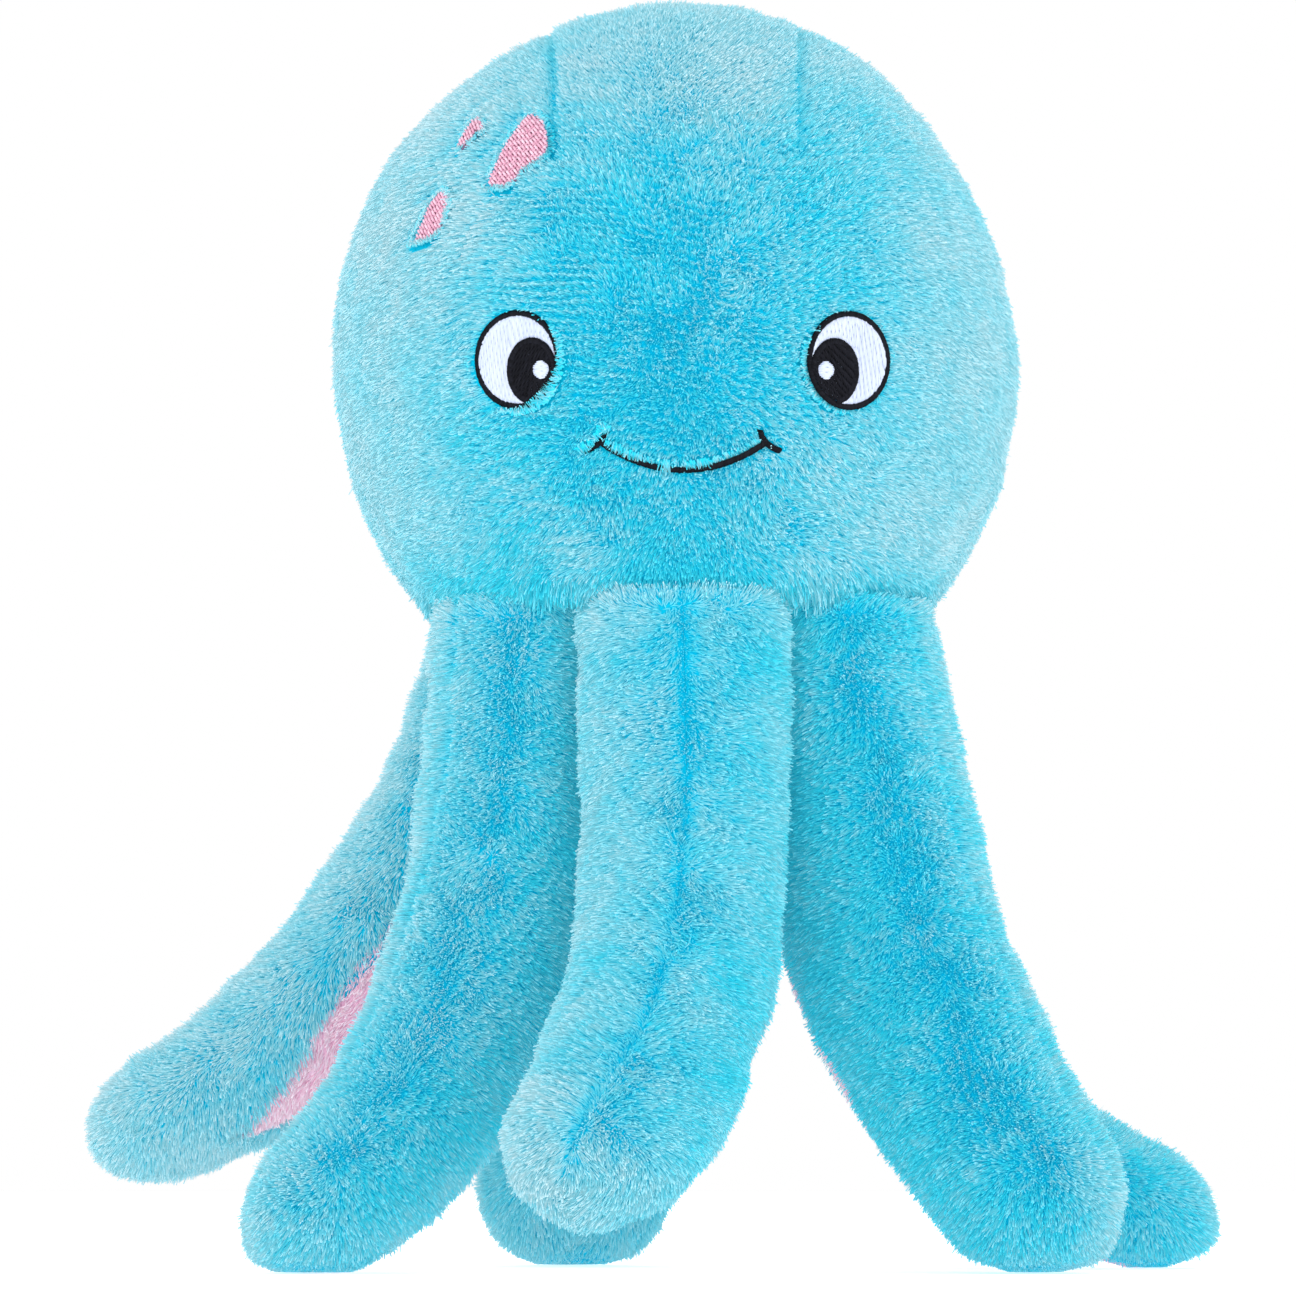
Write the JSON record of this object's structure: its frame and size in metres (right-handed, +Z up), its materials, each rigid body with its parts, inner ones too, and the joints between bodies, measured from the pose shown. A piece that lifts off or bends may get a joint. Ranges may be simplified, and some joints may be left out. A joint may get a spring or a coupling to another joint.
{
  "type": "plush octopus",
  "caption": "Stuffed toy octopus in blue plush with a round head, an embroidered face with pink spots and stuffed arms with pink undersides, standing on its arm tips.",
  "frame": {"origin": "on the floor, under the middle of the object's box as it stands", "axes": "+Z up from the arm tips to the crown, the face looks along -Y, +X to the viewer's right when facing it"},
  "size_m": [0.2717, 0.2375, 0.2985],
  "materials": {
    "blue_plush": "dense short plush pile, matte, paler where it lies flat",
    "pink_plush": "dense short plush pile, matte",
    "fibre_fill": "loose white polyester fibre",
    "white_thread": "satin stitch, soft sheen",
    "black_thread": "satin stitch, soft sheen",
    "pink_thread": "satin stitch, soft sheen"
  },
  "bodies": {
    "head": {"face_panel": "blue_plush", "crown_panel": "blue_plush", "back_panel_left": "blue_plush", "back_panel_right": "blue_plush", "base_panel": "pink_plush", "head_stuffing": "fibre_fill", "eye_left_outline": "black_thread", "eye_left_white": "white_thread", "eye_left_pupil": "black_thread", "eye_left_glint": "white_thread", "eye_right_outline": "black_thread", "eye_right_white": "white_thread", "eye_right_pupil": "black_thread", "eye_right_glint": "white_thread", "mouth_line": "black_thread", "mouth_crease_left": "black_thread", "mouth_crease_right": "black_thread", "spot_large": "pink_thread", "spot_small": "pink_thread", "spot_top": "pink_thread"},
    "front_centre_arm": {"front_centre_arm_upper_panel_left": "blue_plush", "front_centre_arm_upper_panel_right": "blue_plush", "front_centre_arm_under_panel": "pink_plush", "front_centre_arm_stuffing": "fibre_fill"},
    "front_left_arm": {"front_left_arm_upper_panel_left": "blue_plush", "front_left_arm_upper_panel_right": "blue_plush", "front_left_arm_under_panel": "pink_plush", "front_left_arm_stuffing": "fibre_fill"},
    "front_right_arm": {"front_right_arm_upper_panel_left": "blue_plush", "front_right_arm_upper_panel_right": "blue_plush", "front_right_arm_under_panel": "pink_plush", "front_right_arm_stuffing": "fibre_fill"},
    "back_left_arm": {"back_left_arm_upper_panel_left": "blue_plush", "back_left_arm_upper_panel_right": "blue_plush", "back_left_arm_under_panel": "pink_plush", "back_left_arm_stuffing": "fibre_fill"},
    "back_right_arm": {"back_right_arm_upper_panel_left": "blue_plush", "back_right_arm_upper_panel_right": "blue_plush", "back_right_arm_under_panel": "pink_plush", "back_right_arm_stuffing": "fibre_fill"},
    "back_centre_arm": {"back_centre_arm_upper_panel_left": "blue_plush", "back_centre_arm_upper_panel_right": "blue_plush", "back_centre_arm_under_panel": "pink_plush", "back_centre_arm_stuffing": "fibre_fill"}
  },
  "joints": [
    {"name": "front_centre_arm_swing", "type": "hinge", "parent": "head", "child": "front_centre_arm", "pos_m": [0.008, -0.0605, 0.157], "axis": [-1, 0, 0], "range_deg": [0, 45], "stiffness_Nm_per_rad": 0.35, "springref_deg": -11.46},
    {"name": "front_left_arm_swing", "type": "hinge", "parent": "head", "child": "front_left_arm", "pos_m": [-0.04439, -0.03025, 0.157], "axis": [-0.5, 0.866, 0], "range_deg": [0, 45], "stiffness_Nm_per_rad": 0.35, "springref_deg": -11.46},
    {"name": "front_right_arm_swing", "type": "hinge", "parent": "head", "child": "front_right_arm", "pos_m": [0.06039, -0.03025, 0.157], "axis": [-0.5, -0.866, 0], "range_deg": [0, 45], "stiffness_Nm_per_rad": 0.35, "springref_deg": -11.46},
    {"name": "back_left_arm_swing", "type": "hinge", "parent": "head", "child": "back_left_arm", "pos_m": [-0.04439, 0.03025, 0.157], "axis": [0.5, 0.866, 0], "range_deg": [0, 45], "stiffness_Nm_per_rad": 0.35, "springref_deg": -11.46},
    {"name": "back_right_arm_swing", "type": "hinge", "parent": "head", "child": "back_right_arm", "pos_m": [0.06039, 0.03025, 0.157], "axis": [0.5, -0.866, 0], "range_deg": [0, 45], "stiffness_Nm_per_rad": 0.35, "springref_deg": -11.46},
    {"name": "back_centre_arm_swing", "type": "hinge", "parent": "head", "child": "back_centre_arm", "pos_m": [0.008, 0.0605, 0.157], "axis": [1, 0, 0], "range_deg": [0, 45], "stiffness_Nm_per_rad": 0.35, "springref_deg": -11.46}
  ]
}
